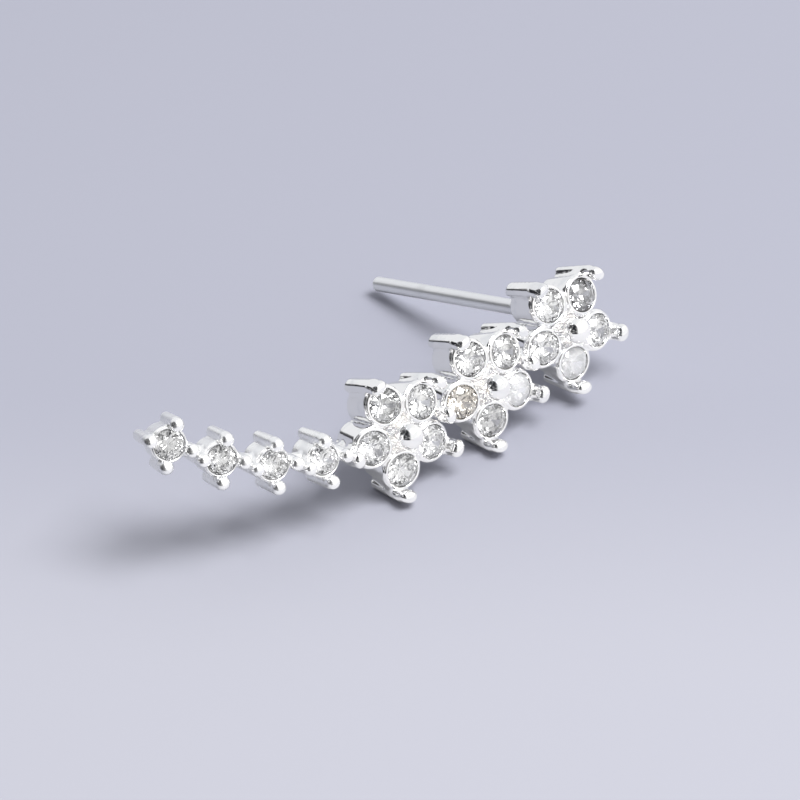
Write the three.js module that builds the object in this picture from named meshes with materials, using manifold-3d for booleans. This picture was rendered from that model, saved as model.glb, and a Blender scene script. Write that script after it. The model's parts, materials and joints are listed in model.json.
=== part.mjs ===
// Ear climber: a row of three five-stone flowers that runs out into four single stones, cast and soldered
// in silver, with a straight ear post on the back of the head flower. Millimetres, degrees, +Z up.
//
// Every unit of the row is modelled in a frame of its own: +X points along the row to the head, +Y up in
// the plane of the stones and +Z out of the front, with the origin in the plane of the stones' girdles.
import * as THREE from 'three';
import { mergeVertices } from 'three/addons/utils/BufferGeometryUtils.js';
import Module from 'manifold-3d';

const wasm = await Module();
wasm.setup();

// ---- Driving dimensions ----

// The row from head to tail: how far each unit lies from the one before, and by how much the row turns on
// the way, upwards in its own plane (rise) and backwards round the ear (wrap).
const ROW = [
  { name: 'head_flower', kind: 'flower', step: 0, rise: 0, wrap: 0 },
  { name: 'middle_flower', kind: 'flower', step: 4.98, rise: 5.2, wrap: 0.9 },
  { name: 'end_flower', kind: 'flower', step: 4.98, rise: 5.2, wrap: 0.9 },
  { name: 'single_1', kind: 'single', step: 4.1, rise: 13.4, wrap: 4 },
  { name: 'single_2', kind: 'single', step: 2.42, rise: 9.2, wrap: 4.2 },
  { name: 'single_3', kind: 'single', step: 2.42, rise: 9.2, wrap: 4.2 },
  { name: 'single_4', kind: 'single', step: 2.42, rise: 9.2, wrap: 4.2 },
];

// One cup with its stone and its claws. The cup narrows from its rim to its foot; the seat under the
// stone runs into a bore that is open at the back. Claws are pegs on the outside of the cup with a round
// head that closes over the stone's edge.
const PETAL_CUP = {
  stoneRadius: 0.74,
  rimRadius: 0.98,
  footRadius: 0.84,
  boreRadius: 0.42,
  depth: 2.0,
  clawReach: 1.04,
  clawRadius: 0.28,
  headReach: 0.98,
  headRadius: 0.32,
  headHeight: 0.62,
  clawAngles: [0],
};
const SINGLE_CUP = {
  stoneRadius: 0.64,
  rimRadius: 0.82,
  footRadius: 0.78,
  boreRadius: 0.36,
  depth: 1.55,
  clawReach: 0.98,
  clawRadius: 0.25,
  headReach: 0.95,
  headRadius: 0.3,
  headHeight: 0.46,
  clawAngles: [8, 98, 188, 278],
};
const RIM_HEIGHT = 0.05; // the cup's rim above the girdle
const STONE_PLAY = 0.04; // gap between a stone and its cup
const GIRDLE = 0.05; // thickness of a stone's edge
const CROWN_SHARE = 0.16; // crown height over stone diameter
const PAVILION_SHARE = 0.43; // pavilion depth over stone diameter
const TABLE_SHARE = 0.56; // table width over stone diameter

// A flower: five petal cups in a ring, leaning outwards, round a hub that carries a polished ball.
const PETALS = 5;
const PETAL_RING_RADIUS = 1.63;
const PETAL_LEAN = 8;
const HUB_RADIUS = 0.8;
const HUB_HEIGHT = 0.85;
const STEM_RADIUS = 0.42;
const BALL_RADIUS = 0.62;
const BALL_HEIGHT = 0.58;

// Bars that join each unit to the next, and the ear post.
const LINK_WIDTH = 0.6;
const LINK_DEPTH = 0.7;
const LINK_OVERLAP = 0.35;
const POST_LENGTH = 12;
const POST_RADIUS = 0.36;
const POST_CHAMFER = 0.12;
const POST_ROOT = { x: -0.25, y: 0.9 };
const POST_COLLAR_RADIUS = 0.55;
const POST_COLLAR_HEIGHT = 0.25;
const SOLDER_OVERLAP = 0.2;

// Facets round each shape.
const CUP_SIDES = 16;
const STONE_SIDES = 12;
const PEG_SIDES = 8;
const BALL_SIDES = 12;
const POST_SIDES = 12;

const rad = THREE.MathUtils.degToRad;
const silver = { color: 0xe9eaee, roughness: 0.12, metalness: 1 };
const clearStone = { color: 0xf4f6fa, roughness: 0.02, metalness: 0 };

// ---- Solids and booleans ----

// A closed solid from a geometry, placed by a matrix. Poles leave triangles without area, which are dropped.
function solidOf(geometry, matrix = new THREE.Matrix4()) {
  const bare = geometry.clone().applyMatrix4(matrix);
  bare.deleteAttribute('normal');
  bare.deleteAttribute('uv');
  const merged = mergeVertices(bare, 1e-5);
  const corners = merged.index.array;
  const triangles = [];
  for (let i = 0; i < corners.length; i += 3) {
    const [a, b, c] = corners.slice(i, i + 3);
    if (a !== b && b !== c && c !== a) {
      triangles.push(a, b, c);
    }
  }
  return new wasm.Manifold(new wasm.Mesh({
    numProp: 3,
    vertProperties: new Float32Array(merged.attributes.position.array),
    triVerts: new Uint32Array(triangles),
  }));
}

function joined(solids) {
  return solids.reduce((whole, solid) => whole.add(solid));
}

function geometryOf(solid) {
  const mesh = solid.getMesh();
  const geometry = new THREE.BufferGeometry();
  geometry.setAttribute('position', new THREE.BufferAttribute(new Float32Array(mesh.vertProperties), 3));
  geometry.setIndex(new THREE.BufferAttribute(new Uint32Array(mesh.triVerts), 1));
  geometry.computeVertexNormals();
  return geometry;
}

// ---- Basic shapes, all standing on or turned about the local Z axis ----

function turned(profile, sides) {
  const points = profile.map(([radius, height]) => new THREE.Vector2(radius, height));
  return new THREE.LatheGeometry(points, sides).rotateX(Math.PI / 2);
}

function rod(radius, bottom, top, sides) {
  const geometry = new THREE.CylinderGeometry(radius, radius, top - bottom, sides);
  return geometry.rotateX(Math.PI / 2).translate(0, 0, (bottom + top) / 2);
}

function ball(radius, sides) {
  return new THREE.SphereGeometry(radius, sides, Math.round(sides * 0.7));
}

function turnedAbout(axis, degrees) {
  return new THREE.Matrix4().makeRotationAxis(axis, rad(degrees));
}

const X = new THREE.Vector3(1, 0, 0);
const Y = new THREE.Vector3(0, 1, 0);
const Z = new THREE.Vector3(0, 0, 1);

function moved(x, y, z) {
  return new THREE.Matrix4().makeTranslation(x, y, z);
}

function chain(...matrices) {
  return matrices.reduce((whole, matrix) => whole.clone().multiply(matrix), new THREE.Matrix4());
}

// ---- Stones and cups ----

function stoneGeometry(cup) {
  const width = 2 * cup.stoneRadius;
  const crownTop = GIRDLE / 2 + CROWN_SHARE * width;
  return turned([
    [0, -GIRDLE / 2 - PAVILION_SHARE * width],
    [cup.stoneRadius, -GIRDLE / 2],
    [cup.stoneRadius, GIRDLE / 2],
    [TABLE_SHARE * cup.stoneRadius, crownTop],
    [0, crownTop],
  ], STONE_SIDES);
}

// The cup before its stone's room is cut. It reaches a little deeper than its foot, which is filed flat.
function wallGeometry(cup) {
  const bottom = -cup.depth - SOLDER_OVERLAP;
  return turned([
    [0, bottom],
    [cup.footRadius, bottom],
    [cup.rimRadius, RIM_HEIGHT],
    [0, RIM_HEIGHT],
  ], CUP_SIDES);
}

function clawSolid(cup, angle) {
  const outwards = turnedAbout(Z, angle);
  const peg = rod(cup.clawRadius, -cup.depth - SOLDER_OVERLAP, cup.headHeight, PEG_SIDES);
  const head = ball(cup.headRadius, PEG_SIDES);
  return joined([
    solidOf(peg, chain(outwards, moved(cup.clawReach, 0, 0))),
    solidOf(head, chain(outwards, moved(cup.headReach, 0, cup.headHeight))),
  ]);
}

function cupSolid(cup) {
  const claws = cup.clawAngles.map((angle) => clawSolid(cup, angle));
  return joined([solidOf(wallGeometry(cup)), ...claws]);
}

// The room that is cut for a stone: the well for its crown and edge, the seat under it and the open bore.
function roomSolid(cup, place) {
  const well = cup.stoneRadius + STONE_PLAY;
  const seatTop = -GIRDLE / 2 - STONE_PLAY;
  const seatFoot = seatTop - (well - cup.boreRadius) * 2 * PAVILION_SHARE;
  const crownFoot = GIRDLE / 2 + STONE_PLAY;
  const crownTop = crownFoot + CROWN_SHARE * 2 * well;
  return solidOf(turned([
    [0, -cup.depth - 1],
    [cup.boreRadius, -cup.depth - 1],
    [cup.boreRadius, seatFoot],
    [well, seatTop],
    [well, crownFoot],
    [TABLE_SHARE * well, crownTop],
    [0, crownTop],
  ], STONE_SIDES), place);
}

// ---- Units of the row ----

// Places of a flower's petals: the first points along the row to the tail, the rest follow upwards.
function petalPlaces() {
  const places = [];
  for (let i = 0; i < PETALS; i += 1) {
    const around = turnedAbout(Z, 180 - (360 / PETALS) * i);
    places.push(chain(around, moved(PETAL_RING_RADIUS, 0, 0), turnedAbout(Y, PETAL_LEAN)));
  }
  return places;
}

function filedFlat(solid, depth) {
  const waste = new THREE.BoxGeometry(12, 12, 2);
  return solid.subtract(solidOf(waste, moved(0, 0, -depth - 1)));
}

function flowerSolid() {
  const depth = PETAL_CUP.depth;
  const hub = solidOf(rod(HUB_RADIUS, -depth - SOLDER_OVERLAP, HUB_HEIGHT - depth, BALL_SIDES));
  const stem = solidOf(rod(STEM_RADIUS, HUB_HEIGHT - depth - SOLDER_OVERLAP, BALL_HEIGHT, POST_SIDES));
  const crown = solidOf(ball(BALL_RADIUS, BALL_SIDES), moved(0, 0, BALL_HEIGHT));
  const cup = cupSolid(PETAL_CUP);
  const petals = petalPlaces().map((place) => cup.transform(place.elements));
  const whole = joined([hub, stem, crown, ...petals]);
  const rooms = petalPlaces().map((place) => roomSolid(PETAL_CUP, place));
  return filedFlat(whole.subtract(joined(rooms)), depth);
}

function singleSolid() {
  const room = roomSolid(SINGLE_CUP, new THREE.Matrix4());
  return filedFlat(cupSolid(SINGLE_CUP).subtract(room), SINGLE_CUP.depth);
}

const KINDS = {
  flower: {
    cup: PETAL_CUP,
    solid: flowerSolid(),
    stonePlaces: petalPlaces(),
    tailReach: PETAL_RING_RADIUS + PETAL_CUP.footRadius,
    headReach: 2 * HUB_RADIUS,
    linkHeight: -1.45,
  },
  single: {
    cup: SINGLE_CUP,
    solid: singleSolid(),
    stonePlaces: [new THREE.Matrix4()],
    tailReach: SINGLE_CUP.footRadius,
    headReach: SINGLE_CUP.footRadius,
    linkHeight: -0.75,
  },
};

// Each unit's place in the row, half of each turn taken before the step and half after it.
function rowPlaces() {
  let place = new THREE.Matrix4();
  return ROW.map((unit) => {
    const halfTurn = chain(turnedAbout(Z, -unit.rise / 2), turnedAbout(Y, -unit.wrap / 2));
    place = chain(place, halfTurn, moved(-unit.step, 0, 0), halfTurn);
    return place;
  });
}

// A bar from one unit's tail side to the next one's head side, sunk a little into both.
function linkSolid(kind, place, nextKind, nextPlace) {
  const from = new THREE.Vector3(-kind.tailReach + LINK_OVERLAP, 0, kind.linkHeight).applyMatrix4(place);
  const to = new THREE.Vector3(nextKind.headReach - LINK_OVERLAP, 0, nextKind.linkHeight);
  to.applyMatrix4(nextPlace);
  const along = from.clone().sub(to);
  const up = new THREE.Vector3().setFromMatrixColumn(place, 1);
  const axisX = along.clone().normalize();
  const axisZ = axisX.clone().cross(up).normalize();
  const axisY = axisZ.clone().cross(axisX);
  const turn = new THREE.Matrix4().makeBasis(axisX, axisY, axisZ);
  turn.setPosition(from.clone().add(to).multiplyScalar(0.5));
  return solidOf(new THREE.BoxGeometry(along.length(), LINK_WIDTH, LINK_DEPTH), turn);
}

// The ear post, square to the head flower's flat back, with a collar of solder at its root.
function postGeometry() {
  return turned([
    [0, -POST_LENGTH],
    [POST_RADIUS - POST_CHAMFER, -POST_LENGTH],
    [POST_RADIUS, POST_CHAMFER - POST_LENGTH],
    [POST_RADIUS, -POST_COLLAR_HEIGHT],
    [POST_COLLAR_RADIUS, 0],
    [POST_COLLAR_RADIUS, SOLDER_OVERLAP],
    [0, SOLDER_OVERLAP],
  ], POST_SIDES);
}

function postPlace(headPlace) {
  return chain(headPlace, moved(POST_ROOT.x, POST_ROOT.y, -PETAL_CUP.depth));
}

// ---- Rest on a level surface ----

function pointsOf(solid) {
  const values = solid.getMesh().vertProperties;
  const points = [];
  for (let i = 0; i < values.length; i += 3) {
    points.push(new THREE.Vector3(values[i], values[i + 1], values[i + 2]));
  }
  return points;
}

// The lowest claw of a flower, the one under its petal on the lower tail side.
function lowestClaw(place) {
  const petal = petalPlaces()[PETALS - 1];
  const head = ball(PETAL_CUP.headRadius, PEG_SIDES);
  const reach = moved(PETAL_CUP.headReach, 0, PETAL_CUP.headHeight);
  return solidOf(head, chain(place, petal, reach));
}

// Turns the row until the lowest points of its three feet lie in one level plane.
function settle(feet) {
  const clouds = feet.map(pointsOf);
  const upright = turnedAbout(X, 90);
  let turn = upright;
  for (let round = 0; round < 12; round += 1) {
    const lowest = clouds.map((cloud) => {
      const lifted = cloud.map((point) => point.clone().applyMatrix4(turn));
      return lifted.reduce((low, point) => (point.z < low.z ? point : low));
    });
    const normal = lowest[1].clone().sub(lowest[0]).cross(lowest[2].clone().sub(lowest[0])).normalize();
    if (normal.z < 0) {
      normal.negate();
    }
    const level = new THREE.Quaternion().setFromUnitVectors(normal, Z);
    turn = chain(new THREE.Matrix4().makeRotationFromQuaternion(level), turn);
  }
  return turn;
}

// Turns the settled row about the vertical until its middle flower looks square to the front.
function facedFront(turn, middlePlace) {
  const alongRow = new THREE.Vector3().setFromMatrixColumn(chain(turn, middlePlace), 0);
  const yaw = -THREE.MathUtils.radToDeg(Math.atan2(alongRow.y, alongRow.x));
  return chain(turnedAbout(Z, yaw), turn);
}

// ---- Assembly ----

const places = rowPlaces();
const post = solidOf(postGeometry(), postPlace(places[0]));
const units = ROW.map((unit, i) => KINDS[unit.kind].solid.transform(places[i].elements));
const links = [];
for (let i = 0; i + 1 < ROW.length; i += 1) {
  links.push(linkSolid(KINDS[ROW[i].kind], places[i], KINDS[ROW[i + 1].kind], places[i + 1]));
}
const setting = joined([...units, ...links, post]);

const feet = [lowestClaw(places[1]), lowestClaw(places[2]), post];
const rest = facedFront(settle(feet), places[1]);

const climber = new THREE.Group();
const settled = setting.transform(rest.elements);
const size = new THREE.Box3().setFromPoints(pointsOf(settled));
const centre = size.getCenter(new THREE.Vector3());
const home = moved(-centre.x, -centre.y, -size.min.z);

const settingMesh = new THREE.Mesh(geometryOf(settled), new THREE.MeshStandardMaterial(silver));
settingMesh.name = 'silver_setting';
settingMesh.applyMatrix4(home);
climber.add(settingMesh);

ROW.forEach((unit, i) => {
  const kind = KINDS[unit.kind];
  kind.stonePlaces.forEach((stonePlace, j) => {
    const shape = geometryOf(solidOf(stoneGeometry(kind.cup)));
    const stone = new THREE.Mesh(shape, new THREE.MeshStandardMaterial(clearStone));
    stone.name = kind.stonePlaces.length > 1 ? `${unit.name}_stone_${j + 1}` : `${unit.name}_stone`;
    stone.applyMatrix4(chain(home, rest, places[i], stonePlace));
    climber.add(stone);
  });
});

export default climber;
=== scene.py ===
"""Dresses the ear climber: three cast silver flowers and four single cups in a row, with clear stones.

Each piece is built in millimetres in the frame of its own unit of the row: +X runs along the row to the
head, +Y up in the plane of the stones and +Z out of the front, with the origin in the plane of the
stones' girdles. Its place is then put into its mesh, in metres.
"""

import json
import logging
import math
from dataclasses import dataclass, field
from enum import Enum
from typing import Any, Dict, List, Optional, Sequence, Tuple, Union

import bmesh
import bpy
import numpy as np
from mathutils import Matrix, Vector

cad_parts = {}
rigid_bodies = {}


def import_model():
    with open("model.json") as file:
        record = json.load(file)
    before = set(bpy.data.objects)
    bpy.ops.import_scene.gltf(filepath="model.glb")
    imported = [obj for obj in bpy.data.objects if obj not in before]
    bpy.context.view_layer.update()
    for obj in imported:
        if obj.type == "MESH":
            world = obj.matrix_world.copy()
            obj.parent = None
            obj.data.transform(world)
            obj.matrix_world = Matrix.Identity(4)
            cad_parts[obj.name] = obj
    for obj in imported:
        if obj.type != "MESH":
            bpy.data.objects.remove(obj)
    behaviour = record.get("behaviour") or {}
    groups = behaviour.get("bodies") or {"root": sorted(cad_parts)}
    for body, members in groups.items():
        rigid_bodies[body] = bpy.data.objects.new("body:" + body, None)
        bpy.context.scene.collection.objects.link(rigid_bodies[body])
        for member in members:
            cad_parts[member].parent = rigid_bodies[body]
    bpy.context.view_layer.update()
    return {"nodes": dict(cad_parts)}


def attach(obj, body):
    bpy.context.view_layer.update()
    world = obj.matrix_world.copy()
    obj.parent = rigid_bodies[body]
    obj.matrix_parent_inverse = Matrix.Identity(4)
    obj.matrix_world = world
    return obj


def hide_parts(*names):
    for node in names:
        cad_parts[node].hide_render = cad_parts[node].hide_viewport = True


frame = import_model()

log = logging.getLogger("ear_climber")

MM = 0.001
BODY = "root"
SETTING = "silver_setting"

Colour = Tuple[float, float, float]
Direction = Tuple[float, float, float]
Range = Tuple[float, float]
Profile = Sequence[Tuple[float, float]]

# Angles are in degrees, and lengths in millimetres where no docstring says metres.
MERGE_DISTANCE = 1e-6
HARD_EDGE = 34.0
SMOOTHING_ROUNDS = 4
WIRE_SIDES = 28
GIRDLE_SHARE = 0.97
STONE_TURN = 17.0


# ---- Node graphs ----


class Expr:
    """A socket's value inside an expression. Each operator adds the Math node that works it out."""

    def __init__(self, graph: "Graph", socket: bpy.types.NodeSocket) -> None:
        """Keeps the graph and the output socket."""
        self.graph = graph
        self.socket = socket

    def _math(self, operation: str, *operands: Any) -> "Expr":
        """Adds one Math node.

        Args:
            operation: The node's operation.
            operands: Expressions or numbers, in the node's order.

        Returns:
            The node's result.
        """
        inputs = dict(enumerate(operands))
        return self.graph.value("ShaderNodeMath", {"operation": operation}, inputs)

    def __add__(self, other: Any) -> "Expr":
        """Returns self + other."""
        return self._math("ADD", self, other)

    def __radd__(self, other: Any) -> "Expr":
        """Returns other + self."""
        return self._math("ADD", other, self)

    def __sub__(self, other: Any) -> "Expr":
        """Returns self - other."""
        return self._math("SUBTRACT", self, other)

    def __rsub__(self, other: Any) -> "Expr":
        """Returns other - self."""
        return self._math("SUBTRACT", other, self)

    def __mul__(self, other: Any) -> "Expr":
        """Returns self * other."""
        return self._math("MULTIPLY", self, other)

    def __rmul__(self, other: Any) -> "Expr":
        """Returns other * self."""
        return self._math("MULTIPLY", other, self)

    def __truediv__(self, other: Any) -> "Expr":
        """Returns self / other."""
        return self._math("DIVIDE", self, other)

    def __rtruediv__(self, other: Any) -> "Expr":
        """Returns other / self."""
        return self._math("DIVIDE", other, self)

    def smooth(self, low: Any, high: Any) -> "Expr":
        """Returns 0 below low, 1 above high and a smooth step between them."""
        inputs = {"Value": self, "From Min": low, "From Max": high}
        return self.graph.value("ShaderNodeMapRange", {"interpolation_type": "SMOOTHSTEP"}, inputs)


class Graph:
    """A node tree under construction."""

    def __init__(self, tree: bpy.types.NodeTree) -> None:
        """Starts from an empty tree."""
        self.tree = tree
        tree.nodes.clear()

    def feed(self, socket: bpy.types.NodeSocket, value: Any) -> None:
        """Links an expression or a socket to an input, or sets the input's own value.

        Args:
            socket: The input.
            value: An Expr, an output socket, or a plain value.
        """
        if isinstance(value, Expr):
            self.tree.links.new(value.socket, socket)
        elif isinstance(value, bpy.types.NodeSocket):
            self.tree.links.new(value, socket)
        else:
            socket.default_value = value

    def node(
        self,
        kind: str,
        settings: Optional[Dict[str, Any]] = None,
        inputs: Optional[Dict[Any, Any]] = None,
    ) -> bpy.types.Node:
        """Adds a node of any type.

        Args:
            kind: The node's type.
            settings: Its properties, set first.
            inputs: Values or links by socket name or number.

        Returns:
            The node.
        """
        made = self.tree.nodes.new(kind)
        for name, value in (settings or {}).items():
            setattr(made, name, value)
        for key, value in (inputs or {}).items():
            self.feed(made.inputs[key], value)
        return made

    def value(
        self,
        kind: str,
        settings: Optional[Dict[str, Any]] = None,
        inputs: Optional[Dict[Any, Any]] = None,
        output: Union[int, str] = 0,
    ) -> Expr:
        """Adds a node and returns one of its outputs as an expression.

        Args:
            kind: The node's type.
            settings: As for node.
            inputs: As for node.
            output: Name or number of the output.

        Returns:
            The output's expression.
        """
        return Expr(self, self.node(kind, settings, inputs).outputs[output])

    def noise(self, place: bpy.types.NodeSocket, scale: float, detail: float) -> Expr:
        """Adds a noise pattern.

        Args:
            place: The coordinates that it reads.
            scale: How fine it is.
            detail: How many finer layers it has.

        Returns:
            Its value, mostly near a half.
        """
        inputs = {"Vector": place, "Scale": scale, "Detail": detail}
        return self.value("ShaderNodeTexNoise", inputs=inputs)

    def measure(self, operation: str, place: bpy.types.NodeSocket, other: Direction) -> Expr:
        """Adds a Vector Math node whose result is a number.

        Args:
            operation: DOT_PRODUCT or DISTANCE.
            place: The first vector.
            other: The second vector.

        Returns:
            The number.
        """
        settings = {"operation": operation}
        return self.value("ShaderNodeVectorMath", settings, {0: place, 1: other}, "Value")

    def mixed(self, factor: Any, first: Any, second: Any) -> bpy.types.NodeSocket:
        """Mixes two colours.

        Args:
            factor: 0 for the first colour and 1 for the second.
            first: A colour or a colour socket.
            second: A colour or a colour socket.

        Returns:
            The mixed colour's socket.
        """
        first, second = (c if not isinstance(c, tuple) else (*c, 1.0) for c in (first, second))
        node = self.node("ShaderNodeMix", {"data_type": "RGBA"}, {0: factor, 6: first, 7: second})
        return node.outputs[2]


# ---- Geometry node trees ----


class Tree:
    """A geometry node tree with named inputs, and the plain mesh that it makes of an object."""

    name = "tree"
    sockets: Dict[str, str] = {}

    def __init__(self) -> None:
        """Builds the interface and then the tree."""
        self.group = bpy.data.node_groups.new(self.name, "GeometryNodeTree")
        interface = self.group.interface
        interface.new_socket("Geometry", in_out="INPUT", socket_type="NodeSocketGeometry")
        self.ids = {}
        for name, kind in self.sockets.items():
            made = interface.new_socket(name, in_out="INPUT", socket_type=kind)
            self.ids[name] = made.identifier
        interface.new_socket("Geometry", in_out="OUTPUT", socket_type="NodeSocketGeometry")
        self.graph = Graph(self.group)
        self.given = self.graph.node("NodeGroupInput")
        made = self.make()
        whole = self.graph.node("GeometryNodeRealizeInstances", inputs={"Geometry": made})
        inputs = {"Geometry": whole.outputs[0], "Material": self.given.outputs["Material"]}
        dressed = self.graph.node("GeometryNodeSetMaterial", inputs=inputs)
        self.graph.node("NodeGroupOutput", inputs={0: dressed.outputs[0]})

    def make(self) -> bpy.types.NodeSocket:
        """Returns the socket of the geometry before it is realised."""
        raise NotImplementedError

    def expr(self, name: str) -> Expr:
        """Returns one of the tree's named inputs as an expression."""
        return Expr(self.graph, self.given.outputs[name])

    def applied(self, data: Union[bpy.types.Mesh, bpy.types.Curve], **values: Any) -> bpy.types.Mesh:
        """Runs the tree on a mesh or a curve.

        Args:
            data: The geometry that goes in.
            values: The named inputs, with underscores for spaces.

        Returns:
            A plain mesh of what comes out.
        """
        carrier = bpy.data.objects.new("carrier", data)
        bpy.context.scene.collection.objects.link(carrier)
        modifier = carrier.modifiers.new(self.name, "NODES")
        modifier.node_group = self.group
        for name, value in values.items():
            modifier[self.ids[name.replace("_", " ")]] = value
        mesh = evaluated(carrier)
        bpy.data.objects.remove(carrier)
        return mesh


class RingTree(Tree):
    """Copies of one shape round the Z axis, each turned to face outwards and leaning by an angle."""

    name = "ring_of_copies"
    sockets = {
        "Copies": "NodeSocketInt",
        "Radius": "NodeSocketFloat",
        "Lean": "NodeSocketFloat",
        "Phase": "NodeSocketFloat",
        "Material": "NodeSocketMaterial",
    }

    def make(self) -> bpy.types.NodeSocket:
        """Places the copies.

        Returns:
            The socket of the ring of instances.
        """
        graph = self.graph
        copies = self.expr("Copies")
        size = {"Vertices": copies, "Radius": self.expr("Radius")}
        points = graph.node("GeometryNodeMeshCircle", inputs=size)
        angle = graph.value("GeometryNodeInputIndex") * (math.tau / copies)
        turn = graph.node("ShaderNodeCombineXYZ", inputs={"Y": self.expr("Lean"), "Z": angle})
        placed = graph.node(
            "GeometryNodeInstanceOnPoints",
            inputs={
                "Points": points.outputs[0],
                "Instance": self.given.outputs["Geometry"],
                "Rotation": turn.outputs[0],
            },
        )
        phase = graph.node("ShaderNodeCombineXYZ", inputs={"Z": self.expr("Phase")})
        inputs = {"Geometry": placed.outputs[0], "Rotation": phase.outputs[0]}
        return graph.node("GeometryNodeTransform", inputs=inputs).outputs[0]

    def around(self, shape: bpy.types.Mesh, **values: Any) -> bpy.types.Mesh:
        """Repeats a shape round the Z axis.

        Args:
            shape: The shape, which is used up.
            values: The named inputs.

        Returns:
            The ring.
        """
        made = self.applied(shape, **values)
        bpy.data.meshes.remove(shape)
        return made


class WireTree(Tree):
    """A round wire along a curve, as thick at each point as the curve's radius there."""

    name = "wire_along_path"
    sockets = {
        "Thickness": "NodeSocketFloat",
        "Sides": "NodeSocketInt",
        "Material": "NodeSocketMaterial",
    }

    def make(self) -> bpy.types.NodeSocket:
        """Sweeps the wire.

        Returns:
            The socket of the wire, with closed ends.
        """
        graph = self.graph
        size = {"Resolution": self.expr("Sides"), "Radius": self.expr("Thickness")}
        profile = graph.node("GeometryNodeCurvePrimitiveCircle", inputs=size)
        radius = graph.node("GeometryNodeInputRadius")
        inputs = {
            "Curve": self.given.outputs["Geometry"],
            "Profile Curve": profile.outputs[0],
            "Scale": radius.outputs[0],
            "Fill Caps": True,
        }
        return graph.node("GeometryNodeCurveToMesh", inputs=inputs).outputs[0]


# ---- Meshes ----


def evaluated(thing: bpy.types.Object) -> bpy.types.Mesh:
    """Turns an object and its modifiers into a plain mesh.

    Args:
        thing: The object, already linked to the scene.

    Returns:
        A new mesh.
    """
    bpy.context.view_layer.update()
    graph = bpy.context.evaluated_depsgraph_get()
    return bpy.data.meshes.new_from_object(thing.evaluated_get(graph))


def mesh_of(corners: Sequence[Sequence[float]], faces: Sequence[Sequence[int]]) -> bpy.types.Mesh:
    """Makes a mesh whose doubles are merged and whose faces point outwards.

    Args:
        corners: Points.
        faces: Corner numbers of each face.

    Returns:
        The mesh.
    """
    mesh = bpy.data.meshes.new("shape")
    mesh.from_pydata([tuple(c) for c in corners], [], [tuple(f) for f in faces])
    work = bmesh.new()
    work.from_mesh(mesh)
    bmesh.ops.remove_doubles(work, verts=work.verts, dist=MERGE_DISTANCE)
    bmesh.ops.recalc_face_normals(work, faces=work.faces)
    work.to_mesh(mesh)
    work.free()
    return mesh


def joined(meshes: Sequence[bpy.types.Mesh]) -> bpy.types.Mesh:
    """Puts several meshes into one, as separate shells.

    Args:
        meshes: The meshes, which are used up.

    Returns:
        The mesh.
    """
    work = bmesh.new()
    for mesh in meshes:
        work.from_mesh(mesh)
        bpy.data.meshes.remove(mesh)
    whole = bpy.data.meshes.new("shape")
    work.to_mesh(whole)
    work.free()
    return whole


def turned(profile: Profile, sides: int, closed: bool = False) -> bpy.types.Mesh:
    """Turns a profile about the Z axis.

    Args:
        profile: Radius and height of each point, from the bottom up on the outside.
        sides: Facets round the axis.
        closed: Whether the last point joins the first, as for a ring.

    Returns:
        The mesh.
    """
    angles = [math.tau * k / sides for k in range(sides)]
    corners = [(r * math.cos(a), r * math.sin(a), z) for r, z in profile for a in angles]
    faces = []
    count = len(profile)
    for i in range(count if closed else count - 1):
        for k in range(sides):
            low, high, step = i * sides, (i + 1) % count * sides, (k + 1) % sides
            faces.append((low + k, low + step, high + step, high + k))
    return mesh_of(corners, faces)


def softened(points: Profile, radius: float, closed: bool = False, steps: int = 5) -> Profile:
    """Rounds the corners of a profile.

    Args:
        points: The profile.
        radius: How far from each corner the rounding starts, at most.
        closed: Whether the last point joins the first.
        steps: Points in each rounding.

    Returns:
        The rounded profile.
    """
    path = [np.array(p, float) for p in points]
    count = len(path)
    made: List[Tuple[float, float]] = []
    for i, corner in enumerate(path):
        if not closed and i in (0, count - 1):
            made.append(tuple(corner))
            continue
        before, after = path[i - 1] - corner, path[(i + 1) % count] - corner
        reach = min(radius, 0.45 * np.linalg.norm(before), 0.45 * np.linalg.norm(after))
        start = corner + before / np.linalg.norm(before) * reach
        end = corner + after / np.linalg.norm(after) * reach
        for k in range(steps + 1):
            t = k / steps
            point = (1 - t) ** 2 * start + 2 * t * (1 - t) * corner + t * t * end
            made.append((float(point[0]), float(point[1])))
    return made


def path_curve(points: Sequence[Sequence[float]], radii: Sequence[float]) -> bpy.types.Curve:
    """Makes an open curve with a radius at each point.

    Args:
        points: The path.
        radii: The radius at each point.

    Returns:
        The curve.
    """
    curve = bpy.data.curves.new("path", "CURVE")
    curve.dimensions = "3D"
    spline = curve.splines.new("POLY")
    spline.points.add(len(points) - 1)
    for made, point, radius in zip(spline.points, points, radii):
        made.co = (*point, 1.0)
        made.radius = radius
    return curve


def melted(mesh: bpy.types.Mesh, grain: float) -> bpy.types.Mesh:
    """Melts overlapping shells into one cast skin with small hollows where they meet.

    Args:
        mesh: The shells, in millimetres. The mesh is used up.
        grain: Edge length of the skin's squares.

    Returns:
        The skin.
    """
    carrier = bpy.data.objects.new("carrier", mesh)
    bpy.context.scene.collection.objects.link(carrier)
    skin = carrier.modifiers.new("skin", "REMESH")
    skin.mode = "VOXEL"
    skin.voxel_size = grain
    skin.adaptivity = 0.0
    smooth = carrier.modifiers.new("smooth", "SMOOTH")
    smooth.factor = 0.5
    smooth.iterations = SMOOTHING_ROUNDS
    made = evaluated(carrier)
    bpy.data.objects.remove(carrier)
    bpy.data.meshes.remove(mesh)
    return made


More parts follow.
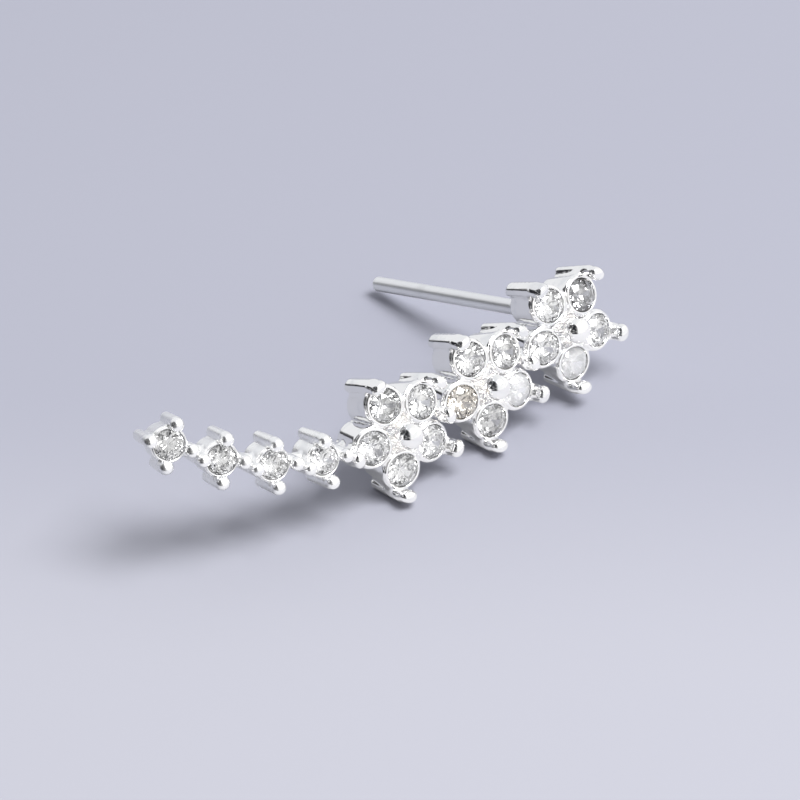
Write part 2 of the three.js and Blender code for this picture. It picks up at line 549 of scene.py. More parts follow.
def filed(mesh: bpy.types.Mesh, height: float) -> bpy.types.Mesh:
    """Files a closed skin flat at a height and closes the cut.

    Args:
        mesh: The skin, changed in place.
        height: Where the flat back lies.

    Returns:
        The same mesh.
    """
    work = bmesh.new()
    work.from_mesh(mesh)
    cut = bmesh.ops.bisect_plane(
        work,
        geom=work.verts[:] + work.edges[:] + work.faces[:],
        plane_co=(0, 0, height),
        plane_no=(0, 0, -1),
        clear_outer=True,
    )
    edges = [e for e in cut["geom_cut"] if isinstance(e, bmesh.types.BMEdge)]
    bmesh.ops.triangle_fill(work, use_beauty=True, edges=edges, normal=(0, 0, -1))
    bmesh.ops.recalc_face_normals(work, faces=work.faces)
    work.to_mesh(mesh)
    work.free()
    return mesh


def crisped(mesh: bpy.types.Mesh) -> bpy.types.Mesh:
    """Shades a mesh smoothly except across its hard edges.

    Args:
        mesh: The mesh, changed in place.

    Returns:
        The same mesh.
    """
    mesh.shade_smooth()
    mesh.set_sharp_from_angle(angle=math.radians(HARD_EDGE))
    return mesh


# ---- Finishes ----


@dataclass(frozen=True)
class Silver:
    """Cast and polished silver, with the faint waves and hairlines that a polishing wheel leaves.

    The relief is in metres, and the scales are patterns to the metre.
    """

    name: str
    bright: Colour = (0.955, 0.95, 0.945)
    dull: Colour = (0.84, 0.845, 0.86)
    dull_share: Range = (0.48, 0.72)
    roughness: float = 0.055
    dull_roughness: float = 0.07
    line_roughness: float = 0.03
    wave: float = 0.8
    hairline: float = 0.08
    relief: float = 1.6e-6
    cloud_scale: float = 900.0
    wave_scale: float = 1500.0
    line_scale: float = 2200.0
    line_turn: Direction = (0.5, 0.9, 0.3)
    line_stretch: Direction = (1.0, 14.0, 1.0)

    def made(self) -> bpy.types.Material:
        """Builds the material.

        Returns:
            The material.
        """
        material, graph, shader = new_material(self.name)
        place = graph.node("ShaderNodeTexCoord").outputs["Object"]
        cloud = graph.noise(place, self.cloud_scale, 4.0)
        waves = graph.noise(place, self.wave_scale, 1.0)
        inputs = {"Vector": place, "Rotation": self.line_turn, "Scale": self.line_stretch}
        stretched = graph.node("ShaderNodeMapping", inputs=inputs)
        lines = graph.noise(stretched.outputs[0], self.line_scale, 3.0)
        tarnish = cloud.smooth(*self.dull_share)
        roughness = self.roughness + tarnish * self.dull_roughness + lines * self.line_roughness
        graph.feed(shader.inputs["Base Color"], graph.mixed(tarnish, self.bright, self.dull))
        graph.feed(shader.inputs["Roughness"], roughness)
        shader.inputs["Metallic"].default_value = 1.0
        height = waves * self.wave + lines * self.hairline
        inputs = {"Strength": 0.5, "Distance": self.relief, "Height": height}
        bump = graph.node("ShaderNodeBump", inputs=inputs)
        graph.feed(shader.inputs["Normal"], bump.outputs[0])
        return material


@dataclass(frozen=True)
class ClearStone:
    """A clear cut stone, with a breath of colour and faint polishing marks on its facets.

    The scales are patterns to the metre.
    """

    name: str
    clear: Colour = (0.92, 0.92, 0.917)
    tint: Colour = (0.76, 0.762, 0.76)
    tint_share: Range = (0.42, 0.58)
    tint_scale: float = 1100.0
    mark_share: Range = (0.55, 0.9)
    mark_scale: float = 9000.0
    mark_roughness: float = 0.03
    index: float = 2.1
    clearness: float = 0.97

    def made(self) -> bpy.types.Material:
        """Builds the material.

        Returns:
            The material.
        """
        material, graph, shader = new_material(self.name)
        place = graph.node("ShaderNodeTexCoord").outputs["Object"]
        tinted = graph.noise(place, self.tint_scale, 2.0).smooth(*self.tint_share)
        marked = graph.noise(place, self.mark_scale, 2.0).smooth(*self.mark_share)
        graph.feed(shader.inputs["Base Color"], graph.mixed(tinted, self.clear, self.tint))
        graph.feed(shader.inputs["Roughness"], marked * self.mark_roughness)
        shader.inputs["IOR"].default_value = self.index
        shader.inputs["Transmission Weight"].default_value = self.clearness
        return material


class Grade(Enum):
    """How light or dark a stone is made: partly how clean it is, partly painted shade and painted light for
    how its facets catch the light.
    """

    CLEAR = ClearStone("clear_stone")
    # Painted light: a milky, whiter stone.
    BRIGHT = ClearStone(
        "bright_stone", clear=(0.98, 0.98, 0.985), tint=(0.93, 0.935, 0.945), clearness=0.72
    )
    # These three carry painted shade as well as dirt: greyer and darker stones than the clear ones.
    GREY = ClearStone("grey_stone", clear=(0.86, 0.86, 0.858), tint=(0.55, 0.55, 0.548))
    DARK = ClearStone("dark_stone", clear=(0.66, 0.662, 0.67), tint=(0.2, 0.2, 0.205))
    DIRTY_SHADED = ClearStone("dirty_shaded_stone", clear=(0.84, 0.845, 0.84), tint=(0.42, 0.425, 0.42))
    WARM = ClearStone("warm_stone", clear=(0.87, 0.835, 0.77), tint=(0.62, 0.57, 0.5))


@dataclass(frozen=True)
class Cloth:
    """The plain pale ground, with painted light that makes it a little lighter towards the front.

    Seen directly it runs from painted shade behind to painted light in front. The polished silver sees
    painted reflections on it instead:
    painted light near the front, painted shade behind and dark painted shade at the left. The edges between
    them are in metres.
    """

    name: str = "pale_ground"
    # Painted light and painted shade: the ground seen directly is lighter towards the front and darker
    # behind.
    light: Colour = (0.334, 0.336, 0.38)
    shade: Colour = (0.273, 0.278, 0.33)
    front: Direction = (-0.78, -0.63, 0.0)
    light_edge: Range = (-0.004, 0.018)
    cloud: float = 0.1
    cloud_scale: float = 30.0
    # Painted reflections, seen only in the silver: painted light near the front, painted shade behind and
    # dark painted shade at the left.
    near: Colour = (0.47, 0.47, 0.49)
    behind: Colour = (0.27, 0.275, 0.31)
    near_edge: Range = (-0.009, 0.001)
    left: Colour = (0.06, 0.06, 0.07)
    left_edge: Range = (-0.034, -0.022)

    def made(self) -> bpy.types.Material:
        """Builds the material.

        Returns:
            The material.
        """
        material, graph, shader = new_material(self.name)
        place = graph.node("ShaderNodeTexCoord").outputs["Object"]
        cloud = graph.noise(place, self.cloud_scale, 2.0)
        ahead = graph.measure("DOT_PRODUCT", place, self.front)
        # Painted light: the ground is mixed from its shade colour behind to its light colour in front.
        share = ahead.smooth(*self.light_edge) * (1.0 - self.cloud) + cloud * self.cloud
        direct = graph.mixed(share, self.shade, self.light)
        axes = graph.node("ShaderNodeSeparateXYZ", inputs={0: place})
        across, along = (Expr(graph, axes.outputs[k]) for k in (0, 1))
        # Painted reflections: what the silver sees of the ground, lighter in front and darker behind and at
        # the left.
        painted_reflection = graph.mixed(along.smooth(*self.near_edge), self.near, self.behind)
        painted_reflection = graph.mixed(across.smooth(*self.left_edge), self.left, painted_reflection)
        in_silver = graph.node("ShaderNodeLightPath").outputs["Is Glossy Ray"]
        graph.feed(shader.inputs["Base Color"], graph.mixed(in_silver, direct, painted_reflection))
        shader.inputs["Roughness"].default_value = 0.9
        shader.inputs["Specular IOR Level"].default_value = 0.1
        return material


def new_material(name: str) -> Tuple[bpy.types.Material, Graph, bpy.types.Node]:
    """Starts a material.

    Args:
        name: Its name.

    Returns:
        The material, its graph and its shader.
    """
    material = bpy.data.materials.new(name)
    material.use_nodes = True
    graph = Graph(material.node_tree)
    shader = graph.node("ShaderNodeBsdfPrincipled")
    graph.node("ShaderNodeOutputMaterial", inputs={"Surface": shader.outputs[0]})
    return material, graph, shader


class Slot(Enum):
    """The record's material slots."""

    SILVER = "silver"
    STONE = "clear_stone"


def finish_piece(
    name: str,
    mesh: bpy.types.Mesh,
    place: Matrix,
    material: bpy.types.Material,
    node: str,
) -> bpy.types.Object:
    """Puts a mesh in its place and hands it over as a finished piece.

    Args:
        name: The piece's name.
        mesh: Its mesh, in the unit's frame.
        place: The unit's place, from millimetres to metres.
        material: Its finish.
        node: The CAD node that it stands for.

    Returns:
        The piece.
    """
    mesh.transform(place)
    mesh.name = name
    mesh.materials.clear()
    mesh.materials.append(material)
    piece = bpy.data.objects.new(name, mesh)
    bpy.context.scene.collection.objects.link(piece)
    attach(piece, BODY)
    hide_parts(node)
    mesh.calc_loop_triangles()
    log.info("%s: %d triangles", name, len(mesh.loop_triangles))
    return piece


# ---- Where the frame puts things ----


@dataclass(frozen=True)
class Seat:
    """Where a stone lies: the middle of its girdle and the way its table faces."""

    origin: Vector
    axis: Vector

    @staticmethod
    def of(node: str) -> "Seat":
        """Reads a seat from the CAD stone.

        Args:
            node: The stone's name.

        Returns:
            The seat, in metres.
        """
        mesh = frame["nodes"][node].data
        points = np.unique(np.round([v.co[:] for v in mesh.vertices], 7), axis=0)
        offsets = points - points.mean(0)
        axis = np.linalg.svd(offsets)[2][2]
        heights = offsets @ axis
        if abs(heights.max()) > abs(heights.min()):
            axis, heights = -axis, -heights
        radii = np.linalg.norm(offsets - np.outer(heights, axis), axis=1)
        girdle = points[radii > GIRDLE_SHARE * radii.max()]
        return Seat(Vector(girdle.mean(0)), Vector(axis).normalized())


def place_of(origin: Vector, along: Vector, out: Vector) -> Matrix:
    """Makes a unit's place, from millimetres in its own frame to metres.

    Args:
        origin: Its origin.
        along: Roughly its X axis.
        out: Its Z axis.

    Returns:
        The matrix.
    """
    z = out.normalized()
    x = (along - z * along.dot(z)).normalized()
    y = z.cross(x)
    turn = Matrix((x, y, z)).transposed().to_4x4()
    return Matrix.Translation(origin) @ turn @ Matrix.Scale(MM, 4)


# ---- The cups and their claws ----


@dataclass(frozen=True)
class Cup:
    """One cup with its claws: a bright-cut rim over a tapering wall, open at the back."""

    stone: float
    rim: float
    foot: float
    bore: float
    depth: float
    claw_reach: float
    claw: float
    claw_foot: float
    head_reach: float
    head: float
    head_height: float
    web_width: float
    claw_flat: float = 1.0
    claw_spread: float = 1.0
    head_lean: float = 18.0
    dome: float = 2.3
    play: float = 0.04
    rim_height: float = 0.05
    cut: float = 0.25
    sides: int = 72

    @property
    def well(self) -> float:
        """Returns the radius of the hole that the stone drops into."""
        return self.stone + self.play

    @property
    def low(self) -> float:
        """Returns the height of the back before it is filed flat."""
        return -self.depth - self.cut

    def wall(self) -> bpy.types.Mesh:
        """Turns the wall for the cast skin.

        Returns:
            A ring that leaves room for the lining.
        """
        room, step = self.well + 0.07, self.bore + 0.2
        profile = [
            (self.foot - 0.01, self.low),
            (self.rim, -0.12),
            (self.rim - 0.035, -0.02),
            (room, -0.01),
            (room, -0.28),
            (step, -0.52),
            (step, -0.78),
            (self.bore, -0.82),
            (self.bore, self.low),
        ]
        return turned(softened(profile, 0.05, closed=True, steps=3), self.sides, closed=True)

    def lining(self) -> bpy.types.Mesh:
        """Turns the crisp ring round the stone, with the seat under it and the top of the bore.

        Returns:
            The ring, a little of which lies inside the cast skin.
        """
        well, end, seat = self.well, -0.84, -0.065
        drop = (well - self.bore) * 0.86
        hidden, step = well + 0.08, self.bore + 0.22
        profile = [
            (step, end),
            (step, -0.45),
            (hidden, -0.25),
            (hidden, -0.03),
            (self.rim - 0.045, -0.035),
            (self.rim - 0.06, 0.012),
            (self.rim - 0.1, self.rim_height - 0.002),
            (well + 0.045, self.rim_height + 0.012),
            (well + 0.006, self.rim_height - 0.004),
            (well, self.rim_height - 0.03),
            (well, seat),
            (self.bore, seat - drop),
            (self.bore, end),
        ]
        return turned(softened(profile, 0.022, closed=True, steps=2), self.sides, closed=True)

    def claw_shape(self, wires: WireTree, material: bpy.types.Material) -> bpy.types.Mesh:
        """Sweeps one claw, from its foot on the wall to the round head that leans over the stone.

        Args:
            wires: The tree that sweeps wires.
            material: Its finish.

        Returns:
            The claw at angle 0.
        """
        neck = self.head_height - 1.15 * self.head
        lean = math.radians(self.head_lean)
        points, radii = [], []
        # The shank, which has its full width from three quarters of its height up.
        for t in np.linspace(0.0, 1.0, 18):
            points.append((self.claw_reach, 0.0, self.low + (neck - self.low) * t))
            radii.append(self.claw_foot + (self.claw - self.claw_foot) * min(1.0, 1.35 * t))
        radii[-1] = self.claw
        centre = np.array((self.head_reach, 0.0, self.head_height))
        up = np.array((-math.sin(lean), 0.0, math.cos(lean)))
        # The head, a blunt dome that never gets thinner than the shank below its middle.
        for t in np.linspace(-0.66, 0.985, 22):
            points.append(tuple(centre + up * self.head * t))
            bulge = (1.0 - abs(t) ** self.dome) ** (1.0 / self.dome)
            radii.append(max(self.head * bulge, self.claw if t < 0 else 0.0))
        curve = path_curve(points, radii)
        claw = wires.applied(curve, Thickness=1.0, Sides=WIRE_SIDES, Material=material)
        back = Matrix.Translation((self.claw_reach + self.claw, 0.0, 0.0))
        broad = Matrix.Diagonal((self.claw_flat, self.claw_spread, 1.0, 1.0))
        claw.transform(back @ broad @ back.inverted())
        return claw

    def web(self) -> bpy.types.Mesh:
        """Builds the web between a claw and the wall, full at the rim and narrower at the back.

        Returns:
            The web at angle 0.
        """
        inner, y = self.well + 0.1, self.web_width
        half_width = self.claw * self.claw_spread
        # The outline goes round the outside of the claw and back along the wall.
        outline = [(math.sqrt((inner + 0.02) ** 2 - y * y), y)]
        for k in range(13):
            angle = math.radians(80.0) * (1.0 - k / 6.0)
            outline.append((self.claw_reach + self.claw * math.cos(angle), half_width * math.sin(angle)))
        outline.append((outline[0][0], -y))
        span = math.asin(y / inner)
        for k in range(1, 12):
            angle = span * (k / 6.0 - 1.0)
            outline.append((inner * math.cos(angle), inner * math.sin(angle)))
        # Each level's height, share of the full width, and how far it is drawn in.
        levels = ((self.low, 0.6, 0.1), (-0.8, 0.8, 0.05), (-0.3, 1.0, 0.0), (-0.02, 0.95, 0.0))
        corners = [(px - inset, py * width, z) for z, width, inset in levels for px, py in outline]
        count = len(outline)
        top = (len(levels) - 1) * count
        faces = [tuple(range(count)), tuple(range(top, top + count))]
        for base in range(0, top, count):
            for k in range(count):
                step = (k + 1) % count
                faces.append((base + k, base + step, base + count + step, base + count + k))
        return mesh_of(corners, faces)


PETAL_CUP = Cup(
    stone=0.74,
    rim=0.98,
    foot=0.84,
    bore=0.42,
    depth=2.0,
    claw_reach=1.09,
    claw=0.33,
    claw_foot=0.3,
    head_reach=0.975,
    head=0.345,
    head_height=0.57,
    web_width=0.5,
    claw_flat=0.88,
    claw_spread=1.2,
)
SINGLE_CUP = Cup(
    stone=0.64,
    rim=0.82,
    foot=0.78,
    bore=0.36,
    depth=1.55,
    claw_reach=0.98,
    claw=0.285,
    claw_foot=0.255,
    head_reach=0.935,
    head=0.315,
    head_height=0.45,
    web_width=0.26,
)


@dataclass
class Tools:
    """The trees and finishes that the units share."""

    rings: RingTree
    wires: WireTree
    cast: bpy.types.Material
    satin: bpy.types.Material
    drawn: bpy.types.Material


@dataclass
class Link:
    """A soldered bar between two units, in the frame of the first."""

    start: Vector
    end: Vector
    thickness: float = 0.33
    solder: float = 0.22

    def shape(self, tools: Tools) -> bpy.types.Mesh:
        """Sweeps the bar, a little fuller at both ends where the solder has run.

        Args:
            tools: Shared trees and finishes.

        Returns:
            The bar.
        """
        points, radii = [], []
        for t in np.linspace(0.0, 1.0, 12):
            points.append(tuple(self.start.lerp(self.end, float(t))))
            radii.append(1.0 + self.solder * (2.0 * t - 1.0) ** 4)
        curve = path_curve(points, radii)
        return tools.wires.applied(
            curve, Thickness=self.thickness, Sides=WIRE_SIDES, Material=tools.cast
        )


@dataclass
class Unit:
    """A unit of the row: its name, its place and the stones that it holds."""

    name: str
    place: Matrix
    seats: Dict[str, Matrix]
    cup: Cup
    tail_reach: float
    head_reach: float
    link_height: float
    link_overlap: float = 0.35
    grain: float = 0.0445
    links: List[Link] = field(default_factory=list)

    def body_shells(self, tools: Tools) -> List[bpy.types.Mesh]:
        """Returns the overlapping shells that are cast as one."""
        raise NotImplementedError

    def crisp_parts(self, tools: Tools) -> List[bpy.types.Mesh]:
        """Returns the turned and polished parts that stay crisp."""
        raise NotImplementedError

    def local(self, matrix: Matrix) -> Matrix:
        """Returns a place of the row in this unit's own frame."""
        return self.place.inverted() @ matrix

    def add_link(self, following: "Unit") -> None:
        """Adds the bar to the next unit towards the tail.

        Args:
            following: That unit.
        """
        start = Vector((-self.tail_reach + self.link_overlap, 0.0, self.link_height))
        there = Vector((following.head_reach - self.link_overlap, 0.0, following.link_height))
        self.links.append(Link(start, self.local(following.place) @ there))

    def finish(self, tools: Tools) -> bpy.types.Material:
        """Returns the unit's finish."""
        return tools.cast

    def make(self, tools: Tools) -> bpy.types.Object:
        """Casts the unit and hands it over.

        Args:
            tools: Shared trees and finishes.

        Returns:
            The piece.
        """
        shells = self.body_shells(tools) + [link.shape(tools) for link in self.links]
        cast = filed(melted(joined(shells), self.grain), -self.cup.depth)
        body = melted(cast, self.grain)
        whole = joined([body] + self.crisp_parts(tools))
        name, finish = f"{self.name}_cast", self.finish(tools)
        return finish_piece(name, crisped(whole), self.place, finish, SETTING)


@dataclass
class Flower(Unit):
    """Five petal cups in a ring, leaning outwards, round a hub that carries a polished ball."""

    petals: int = 5
    ring_radius: float = 1.63
    lean: float = 8.0
    hub: float = 0.8
    hub_top: float = -1.15
    stem: float = 0.42
    stem_flare: float = 0.08
    ball: float = 0.62
    ball_height: float = 0.58

    def ring(self, tools: Tools, shape: bpy.types.Mesh) -> bpy.types.Mesh:
        """Repeats a petal's shape round the flower.

        Args:
            tools: Shared trees and finishes.
            shape: The shape, which is used up.

        Returns:
            The ring.
        """
        return tools.rings.around(
            shape,
            Copies=self.petals,
            Radius=self.ring_radius,
            Lean=math.radians(self.lean),
            Phase=math.pi,
            Material=tools.cast,
        )

    def body_shells(self, tools: Tools) -> List[bpy.types.Mesh]:
        """Builds the petals' walls and claws, and the hub with its stem.

        Args:
            tools: Shared trees and finishes.

        Returns:
            The overlapping shells.
        """
        claw = self.cup.claw_shape(tools.wires, tools.cast)
        petal = joined([self.cup.wall(), self.cup.web(), claw])
        profile = [
            (0.0, self.cup.low),
            (self.hub, self.cup.low),
            (self.hub, self.hub_top),
            (self.stem + self.stem_flare, self.hub_top + 0.55),
            (self.stem, self.ball_height - 0.3),
            (0.0, self.ball_height - 0.2),
        ]
        return [self.ring(tools, petal), turned(softened(profile, 0.2), 48)]

    def crisp_parts(self, tools: Tools) -> List[bpy.types.Mesh]:
        """Builds the cups' linings and the ball.

        Args:
            tools: Shared trees and finishes.

        Returns:
            The linings in their ring, and the ball.
        """
        arc = [math.pi * (k / 36 - 0.5) for k in range(37)]
        profile = [(self.ball * math.cos(a), self.ball_height + self.ball * math.sin(a)) for a in arc]
        return [self.ring(tools, self.cup.lining()), turned(profile, 72)]


@dataclass
class Single(Unit):
    """One round cup with a ring of claws."""

    grain: float = 0.036
    claws: int = 4
    first_claw: float = 8.0

    def body_shells(self, tools: Tools) -> List[bpy.types.Mesh]:
        """Builds the wall and its ring of claws.

        Args:
            tools: Shared trees and finishes.

        Returns:
            The overlapping shells.
        """
        claw = joined([self.cup.web(), self.cup.claw_shape(tools.wires, tools.cast)])
        ring = tools.rings.around(
            claw,
            Copies=self.claws,
            Radius=0.0,
            Lean=0.0,
            Phase=math.radians(self.first_claw),
            Material=tools.cast,
        )
        return [self.cup.wall(), ring]

    def crisp_parts(self, tools: Tools) -> List[bpy.types.Mesh]:
        """Returns the cup's lining."""
        return [self.cup.lining()]

    def finish(self, tools: Tools) -> bpy.types.Material:
        """Returns the softer polish of the small cups."""
        return tools.satin


@dataclass
class EarPost:
    """The straight wire that goes through the ear, soldered square to the head flower's back."""

    place: Matrix
    root: Direction = (-0.25, 0.9, -2.0)
    length: float = 12.0
    radius: float = 0.36
    tip: float = 0.16
    collar: float = 0.55
    collar_height: float = 0.42
    sunk: float = 0.12

    def make(self, tools: Tools) -> bpy.types.Object:
        """Turns the post and hands it over.

        Args:
            tools: Shared trees and finishes.

        Returns:
            The piece.
        """
        profile = [(0.0, -self.length)]
        for k in range(1, 9):
            angle = math.radians(90.0 * k / 8)
            out, up = math.sin(angle), 1.0 - math.cos(angle)
            profile.append((self.radius - self.tip + self.tip * out, self.tip * up - self.length))
        for height in np.linspace(-self.length + 0.5, -0.6, 24):
            profile.append((self.radius, float(height)))
        for k in range(9):
            t = k / 8
            flare = (self.collar - self.radius) * t**2.2
            profile.append((self.radius + flare, self.collar_height * t - self.collar_height))
        profile += [(self.collar, self.sunk), (0.0, self.sunk)]
        place = self.place @ Matrix.Translation(self.root)
        mesh = crisped(turned(profile, 56))
        return finish_piece("ear_post", mesh, place, tools.drawn, SETTING)


# ---- The stones ----


@dataclass(frozen=True)
class Brilliant:
    """A round brilliant: an eight-sided table, stars, kites and halves over the girdle, mains below."""

    radius: float
    girdle: float = 0.05
    crown: float = 0.15
    pavilion: float = 0.43
    table: float = 0.58
    star: float = 0.8
    half: float = 0.5
    fold: int = 8

    def shape(self, turn: float) -> bpy.types.Mesh:
        """Cuts the stone.

        Args:
            turn: How far it is turned about its axis, in degrees.

        Returns:
            The mesh, in millimetres about the middle of its girdle.
        """
        r, edge = self.radius, self.girdle / 2
        crown_slope = 2 * self.crown / (1 - self.table)
        pavilion_slope = 2 * self.pavilion
        cos_half = math.cos(math.pi / self.fold)
        star_height = edge + (1 - self.star * cos_half) * crown_slope * r
        half_height = -edge - (1 - self.half * cos_half) * pavilion_slope * r
        rings = [
            (self.table * r, edge + 2 * self.crown * r, self.fold, 0.0),
            (self.star * r, star_height, self.fold, 0.5),
            (r, edge, 2 * self.fold, 0.0),
            (r, -edge, 2 * self.fold, 0.0),
            (self.half * r, half_height, self.fold, 0.5),
        ]
        corners = [(0.0, 0.0, -edge - pavilion_slope * r)]
        for radius, height, count, shift in rings:
            for k in range(count):
                angle = math.radians(turn) + math.tau * (k + shift) / count
                corners.append((radius * math.cos(angle), radius * math.sin(angle), height))
        work = bmesh.new()
        for corner in corners:
            work.verts.new(corner)
        bmesh.ops.convex_hull(work, input=work.verts)
        bmesh.ops.dissolve_limit(work, angle_limit=math.radians(0.6), verts=work.verts, edges=work.edges)
        bmesh.ops.recalc_face_normals(work, faces=work.faces)
        mesh = bpy.data.meshes.new("stone")
        work.to_mesh(mesh)
        work.free()
        mesh.shade_flat()
        return mesh

    def make(self, node: str, place: Matrix, turn: float, material: bpy.types.Material) -> bpy.types.Object:
        """Cuts the stone and hands it over.

        Args:
            node: The CAD stone that it stands for.
            place: Its seat.
            turn: How far it is turned about its axis, in degrees.
            material: Its finish.

        Returns:
            The piece.
        """
        return finish_piece(f"{node}_cut", self.shape(turn), place, material, node)


# ---- The row ----


FLOWERS = ("head_flower", "middle_flower", "end_flower")
SINGLES = ("single_1", "single_2", "single_3", "single_4")
# Stones with their own grades: the darker grades carry painted shade as well as dirt, the bright ones
# painted light, the warm one a warm tint. Every other stone is clear.
SPECIAL_STONES = {
    "head_flower_stone_3": Grade.DARK,
    "head_flower_stone_5": Grade.BRIGHT,
    "middle_flower_stone_1": Grade.WARM,
    "middle_flower_stone_2": Grade.GREY,
    "middle_flower_stone_3": Grade.GREY,
    "middle_flower_stone_4": Grade.BRIGHT,
    "middle_flower_stone_5": Grade.GREY,
    "end_flower_stone_2": Grade.DIRTY_SHADED,
    "single_2_stone": Grade.GREY,
    "single_3_stone": Grade.GREY,
    "single_4_stone": Grade.GREY,
}


def flower_at(name: str) -> Flower:
    """Finds a flower's place from its five CAD stones.

    Args:
        name: The flower's name.

    Returns:
        The flower.
    """
    nodes = [f"{name}_stone_{k}" for k in range(1, 6)]
    seats = [Seat.of(node) for node in nodes]
    origin = sum((s.origin for s in seats), Vector()) / len(seats)
    out = sum((s.axis for s in seats), Vector())
    place = place_of(origin, origin - seats[0].origin, out)
    stones = {n: place_of(s.origin, s.origin - origin, s.axis) for n, s in zip(nodes, seats)}
    tail_reach = Flower.ring_radius + PETAL_CUP.foot
    head_reach = 2 * Flower.hub
    return Flower(name, place, stones, PETAL_CUP, tail_reach, head_reach, link_height=-1.45)


def row_units() -> List[Unit]:
    """Finds every unit of the row, from the head to the tail, and links each to the next.

    Returns:
        The units.
    """
    units: List[Unit] = [flower_at(name) for name in FLOWERS]
    for name in SINGLES:
        before = units[-1].place
        seat = Seat.of(f"{name}_stone")
        chord = (before.translation - seat.origin).normalized()
        along = before.col[0].to_3d().normalized()
        along = 2 * chord.dot(along) * chord - along
        place = place_of(seat.origin, along, seat.axis)
        stones = {f"{name}_stone": place}
        reach = SINGLE_CUP.foot
        units.append(Single(name, place, stones, SINGLE_CUP, reach, reach, link_height=-0.75))
    for unit, following in zip(units, units[1:]):
        unit.add_link(following)
    return units


# ---- Studio ----


@dataclass(frozen=True)
class Camera:
    """The camera: how it looks at the middle flower, with all lengths in millimetres."""

    azimuth: float = -37.4
    elevation: float = 33.0
    roll: float = -7.0
    distance: float = 150.0
    aside: float = 3.97
    above: float = -0.68
    lens: float = 151.875
    sensor: float = 36.0

    def make(self, middle: Vector) -> None:
        """Sets the camera up.

        Args:
            middle: The middle flower's centre.
        """
        a, e, r = (math.radians(v) for v in (self.azimuth, self.elevation, self.roll))
        back = Vector((math.sin(a) * math.cos(e), -math.cos(a) * math.cos(e), math.sin(e)))
        level = Vector((math.cos(a), math.sin(a), 0.0))
        up = back.cross(level)
        right = math.cos(r) * level + math.sin(r) * up
        top = -math.sin(r) * level + math.cos(r) * up
        eye = middle + back * self.distance * MM
        target = middle - right * self.aside * MM + top * self.above * MM
        ahead = (target - eye).normalized()
        x = ahead.cross(top).normalized()
        y = x.cross(ahead)
        data = bpy.data.cameras.new("camera")
        data.sensor_width = self.sensor
        data.lens = self.lens
        data.clip_start = 0.005
        data.clip_end = 5.0
        camera = bpy.data.objects.new("camera", data)
        camera.matrix_world = Matrix.Translation(eye) @ Matrix((x, y, -ahead)).transposed().to_4x4()
        bpy.context.scene.collection.objects.link(camera)
        bpy.context.scene.camera = camera


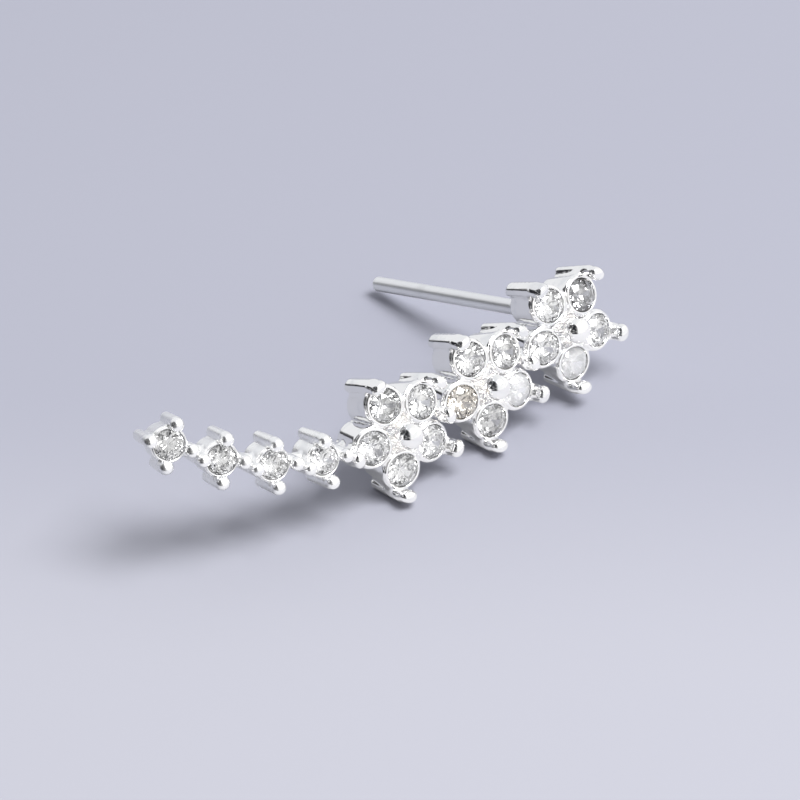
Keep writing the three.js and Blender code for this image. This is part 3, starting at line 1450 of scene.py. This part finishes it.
@dataclass(frozen=True)
class Studio:
    """Soft light: a bright dome with dark places at the left, one soft light, and a pale ground.

    The silver shows the dark places as its dark bands and patches. The radii of the cloth and the ground
    are in metres.
    """

    dome: float = 1.08
    dark: Colour = (0.02, 0.02, 0.024)
    behind: Colour = (0.8, 0.81, 0.83)
    ahead: Colour = (1.0, 1.0, 1.0)
    backdrop: Colour = (0.62, 0.63, 0.68)
    facing: Direction = (0.5, -0.87, 0.0)
    facing_edge: Range = (-0.35, 0.6)
    away: Direction = (-0.94, 0.34, 0.0)
    wall_edge: Range = (0.1, 0.45)
    wall_top: Range = (0.03, 0.06)
    gap: Direction = (-0.95, 0.05, 0.3)
    gap_edge: Range = (0.88, 0.94)
    clutter_scale: float = 5.0
    clutter_share: float = 0.2
    clutter_crowding: float = 0.28
    clutter_blur: Range = (0.0, 0.05)
    clutter_edge: Range = (0.2, 0.95)
    clutter_top: Range = (0.55, 0.85)
    speck_edge: Range = (0.585, 0.605)
    speck_glow: float = 0.6
    cloth: float = 0.09
    ground: float = 0.5

    def sky(self) -> None:
        """Builds the dome: bright, but for a low dark wall, dark clutter and a dark gap at the left."""
        world = bpy.data.worlds.new("dome")
        bpy.context.scene.world = world
        world.use_nodes = True
        graph = Graph(world.node_tree)
        direction = graph.node("ShaderNodeTexCoord").outputs["Generated"]
        height = graph.value("ShaderNodeSeparateXYZ", inputs={0: direction}, output=2)
        away = graph.measure("DOT_PRODUCT", direction, self.away)
        gap = graph.measure("DISTANCE", direction, self.gap)
        clutter = graph.noise(direction, self.clutter_scale, 2.0)
        glow = 1.0 - away.smooth(*self.wall_edge) * (1.0 - height.smooth(*self.wall_top))
        crowd = away.smooth(*self.clutter_edge) * (1.0 - height.smooth(*self.clutter_top))
        clear = clutter - self.clutter_share - self.clutter_crowding * crowd
        glow = glow * clear.smooth(*self.clutter_blur)
        specks = clutter.smooth(*self.speck_edge) * self.speck_glow
        glow = glow * (gap.smooth(*self.gap_edge) + specks)
        facing = graph.measure("DOT_PRODUCT", direction, self.facing)
        open_sky = graph.mixed(facing.smooth(*self.facing_edge), self.behind, self.ahead)
        lit = graph.mixed(glow, self.dark, open_sky)
        seen = graph.node("ShaderNodeLightPath").outputs["Is Camera Ray"]
        colour = graph.mixed(seen, lit, self.backdrop)
        light = graph.node("ShaderNodeBackground", inputs={0: colour, 1: self.dome})
        graph.node("ShaderNodeOutputWorld", inputs={0: light.outputs[0]})

    def softbox(
        self,
        name: str,
        azimuth: float,
        elevation: float,
        distance: float,
        size: float,
        watts: float,
    ) -> None:
        """Hangs one square soft light that faces the row.

        Args:
            name: Its name.
            azimuth: Its direction from the row, anticlockwise from +X, in degrees.
            elevation: Its height above the ground, in degrees.
            distance: How far away it is, in metres.
            size: Its width and height, in metres.
            watts: Its power.
        """
        data = bpy.data.lights.new(name, "AREA")
        data.size = size
        data.energy = watts
        lamp = bpy.data.objects.new(name, data)
        a, e = math.radians(azimuth), math.radians(elevation)
        out = Vector((math.cos(a) * math.cos(e), math.sin(a) * math.cos(e), math.sin(e)))
        turn = out.to_track_quat("Z", "Y").to_matrix().to_4x4()
        lamp.matrix_world = Matrix.Translation(out * distance) @ turn
        bpy.context.scene.collection.objects.link(lamp)

    def floor(self) -> None:
        """Lays the ground: a round cloth that the silver mirrors, with painted reflections for the silver
        on it, and the same ground beyond it.
        """
        cloth = Cloth().made()
        sides = 96
        angles = [math.tau * k / sides for k in range(sides)]
        near, far = (
            [(radius * math.cos(a), radius * math.sin(a), 0.0) for a in angles]
            for radius in (self.cloth, self.ground)
        )
        following = [(k + 1) % sides for k in range(sides)]
        ring = [(k, k + sides, n + sides, n) for k, n in enumerate(following)]
        for name, corners, faces in (("cloth", near, [tuple(range(sides))]), ("ground", near + far, ring)):
            mesh = bpy.data.meshes.new(name)
            mesh.from_pydata(corners, [], faces)
            mesh.materials.append(cloth)
            ground = bpy.data.objects.new(name, mesh)
            bpy.context.scene.collection.objects.link(ground)
            ground.visible_glossy = name == "cloth"

    def make(self) -> None:
        """Builds the whole studio."""
        self.sky()
        self.softbox("key", azimuth=-72.0, elevation=58.0, distance=0.7, size=0.36, watts=7.4)
        self.floor()
        scene = bpy.context.scene
        scene.view_settings.view_transform = "Standard"
        # Light passes many facets and mirrors before it leaves the stones and the narrow gaps.
        scene.cycles.max_bounces = 24
        scene.cycles.glossy_bounces = 14
        scene.cycles.transmission_bounces = 20


def main() -> None:
    """Builds the camera, the row, its stones and the studio."""
    logging.basicConfig(level=logging.INFO, format="%(name)s %(message)s")
    units = row_units()
    Camera().make(units[1].place.translation)
    cast = Silver("polished_silver")
    drawn = Silver(
        "drawn_silver_wire",
        bright=(0.86, 0.865, 0.88),
        dull=(0.8, 0.805, 0.82),
        roughness=0.3,
        hairline=0.4,
    )
    satin = Silver(
        "satin_silver", bright=(0.975, 0.973, 0.97), dull=(0.925, 0.929, 0.94), roughness=0.25
    )
    tools = Tools(RingTree(), WireTree(), cast.made(), satin.made(), drawn.made())
    grades = {grade: grade.value.made() for grade in Grade}
    count = 0
    for unit in units:
        unit.make(tools)
        for node, place in unit.seats.items():
            grade = SPECIAL_STONES.get(node, Grade.CLEAR)
            Brilliant(unit.cup.stone).make(node, place, STONE_TURN * count, grades[grade])
            count += 1
    EarPost(units[0].place).make(tools)
    Studio().make()


if __name__ == "__main__":
    main()
